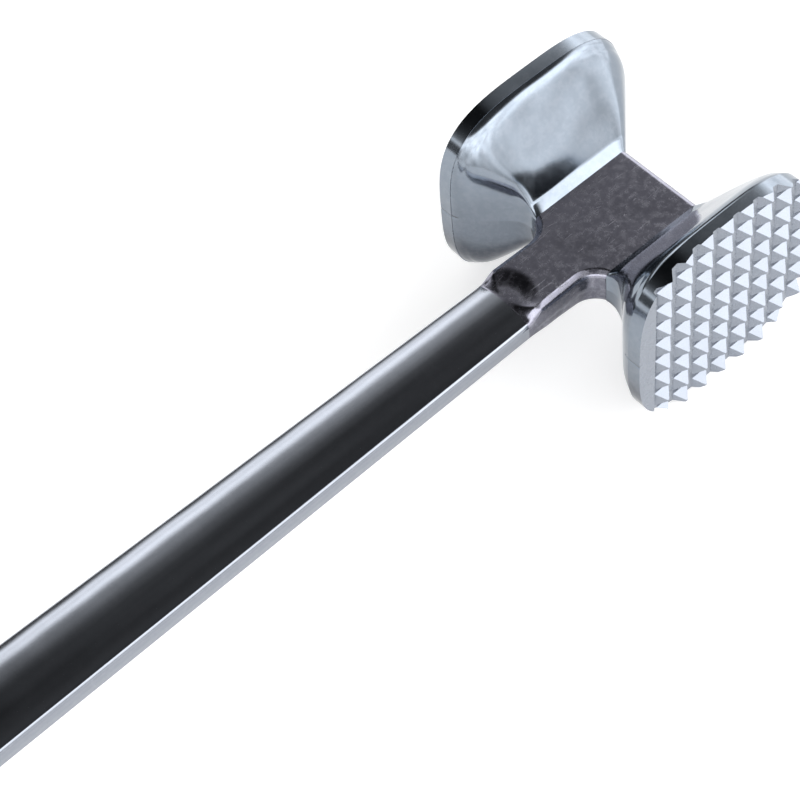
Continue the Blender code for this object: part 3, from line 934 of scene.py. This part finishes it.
# Where the room changes, as shares of the direction's X, Y and Z, from 0 to full effect
FAR_SIDE = (-0.35, 0.25)
BEHIND_X = (0.25, 0.03)
BEHIND_Y = (-0.10, 0.10)
BEHIND_Z = (0.30, 0.46)
BEHIND_DIMMING = 0.88
AHEAD_X = (0.55, 0.80)
AHEAD_Z = (0.50, 0.40)
AHEAD_LEVEL = 0.75

# Where the camera is, and how far the head stands from the middle of its picture
CAMERA_AZIMUTH = math.radians(233.38)
CAMERA_ELEVATION = math.radians(54.64)
CAMERA_ROLL = math.radians(-6.70)
CAMERA_DISTANCE = 0.5655
CAMERA_LENS = 115.2
CAMERA_CLIP_START = 0.02
HEAD_RIGHT_OF_CENTRE = 0.0497
HEAD_ABOVE_CENTRE = 0.0401


def floor_material():
    """A white lit table top: it glows a little, so shadows on it stay faint."""
    material = bpy.data.materials.new("pale_floor")
    material.use_nodes = True
    nodes = Nodes(material.node_tree)
    shader = nodes.add("ShaderNodeBsdfPrincipled", Roughness=0.9)
    shader.inputs["Base Color"].default_value = (FLOOR_SHADE,) * 3 + (1.0,)
    shader.inputs["Emission Color"].default_value = (1.0, 1.0, 1.0, 1.0)
    shader.inputs["Emission Strength"].default_value = FLOOR_GLOW
    nodes.add("ShaderNodeOutputMaterial", Surface=shader.outputs["BSDF"])
    return material


def build_floor():
    """A wide floor just under the tool. It is scenery and not a piece."""
    builder = bmesh.new()
    bmesh.ops.create_grid(builder, x_segments=1, y_segments=1, size=FLOOR_HALF_SIZE)
    floor = object_from("studio_floor", builder, floor_material())
    floor.location.z = cad_box[0].z - FLOOR_GAP


def ramp(nodes, value, stops):
    """A brightness from a list of (position, level) stops."""
    node = nodes.add("ShaderNodeValToRGB", Fac=value)
    elements = node.color_ramp.elements
    elements.remove(elements[-1])
    elements[0].position = stops[0][0]
    elements[0].color = (stops[0][1],) * 3 + (1.0,)
    for position, level in stops[1:]:
        elements.new(position).color = (level,) * 3 + (1.0,)
    return node.outputs["Color"]


def light_world():
    """Bright walls under a dark ceiling: what polished metal shows as its tones.

    The far wall is on the coarse face's side. It is dimmer behind the handle, and low
    down ahead of the tool the room is evenly bright.
    """
    world = bpy.data.worlds.new("studio")
    bpy.context.scene.world = world
    world.use_nodes = True
    nodes = Nodes(world.node_tree)
    direction = nodes.add("ShaderNodeTexCoord").outputs["Generated"]
    axes = nodes.add("ShaderNodeSeparateXYZ", Vector=direction)
    x, y, z = axes.outputs

    far_side = nodes.step(y, *FAR_SIDE)
    walls = nodes.mix(far_side, ramp(nodes, z, NEAR_WALL), ramp(nodes, z, FAR_WALL))
    behind = nodes.math("MULTIPLY", nodes.step(x, *BEHIND_X), nodes.step(z, *BEHIND_Z))
    behind = nodes.math("MULTIPLY", behind, nodes.step(y, *BEHIND_Y))
    dimmed = nodes.math("MULTIPLY_ADD", behind, -BEHIND_DIMMING, 1.0)
    ahead = nodes.math("MULTIPLY", nodes.step(x, *AHEAD_X), nodes.step(z, *AHEAD_Z))
    walls = nodes.mix(ahead, walls, (AHEAD_LEVEL,) * 3 + (1.0,))
    patches = nodes.step(nodes.noise(direction, 4.5, 1.5), 0.30, 0.70)
    uneven = nodes.math("MULTIPLY_ADD", patches, 0.45, 0.75)
    background = nodes.add("ShaderNodeBackground", Color=walls)
    strength = nodes.math("MULTIPLY", nodes.math("MULTIPLY", dimmed, uneven), WORLD_PEAK)
    nodes.feed(background, "Strength", strength)
    nodes.add("ShaderNodeOutputWorld", Surface=background.outputs["Background"])


def ring_of_lights():
    """Wide soft lights all around for the floor. Mirrors don't show them."""
    for i in range(LAMP_COUNT):
        angle = 2 * math.pi * i / LAMP_COUNT
        data = bpy.data.lights.new("soft_light", "AREA")
        data.size = LAMP_SIZE
        data.energy = LAMP_WATTS
        lamp = bpy.data.objects.new("soft_light", data)
        bpy.context.scene.collection.objects.link(lamp)
        lamp.location = (LAMP_CIRCLE * math.cos(angle), LAMP_CIRCLE * math.sin(angle), LAMP_HEIGHT)
        lamp.rotation_euler = (-lamp.location).to_track_quat("-Z", "Y").to_euler()
        lamp.visible_glossy = False


def place_camera():
    """A long lens behind the handle, high on the fine-toothed side."""
    level = math.cos(CAMERA_ELEVATION)
    back_x = level * math.cos(CAMERA_AZIMUTH)
    back_y = level * math.sin(CAMERA_AZIMUTH)
    back = Vector((back_x, back_y, math.sin(CAMERA_ELEVATION)))
    flat_right = Vector((-math.sin(CAMERA_AZIMUTH), math.cos(CAMERA_AZIMUTH), 0.0))
    turn = Matrix.Rotation(CAMERA_ROLL, 3, back)
    right = turn @ flat_right
    up = back.cross(right)
    data = bpy.data.cameras.new("camera")
    data.lens = CAMERA_LENS
    data.clip_start = CAMERA_CLIP_START
    camera = bpy.data.objects.new("camera", data)
    bpy.context.scene.collection.objects.link(camera)
    aim = HEAD_MIDDLE - right * HEAD_RIGHT_OF_CENTRE - up * HEAD_ABOVE_CENTRE
    spot = aim + back * CAMERA_DISTANCE
    turned = Matrix((right, up, back)).transposed().to_4x4()
    camera.matrix_world = Matrix.Translation(spot) @ turned
    bpy.context.scene.camera = camera


def main():
    metals = {name: polished_metal(name, *values) for name, values in METALS.items()}
    build_bridge(metals["bridge_polish"])
    build_handle(metals["handle_polish"])
    build_head("fine_head_casting", "fine_head", -1, metals["head_polish"])
    build_head("coarse_head_casting", "coarse_head", 1, metals["head_polish"])
    plate_metals = (metals["tooth_polish"], metals["head_polish"])
    build_fine_plate(plate_metals)
    build_coarse_plate(plate_metals)
    for node in ("tie_stud", "neck_pin"):
        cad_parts[node].data.materials.clear()
        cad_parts[node].data.materials.append(metals["joinery_steel"])

    build_floor()
    light_world()
    ring_of_lights()
    place_camera()
    bpy.context.scene.view_settings.view_transform = "Standard"
    bpy.context.scene.cycles.use_denoising = True


main()
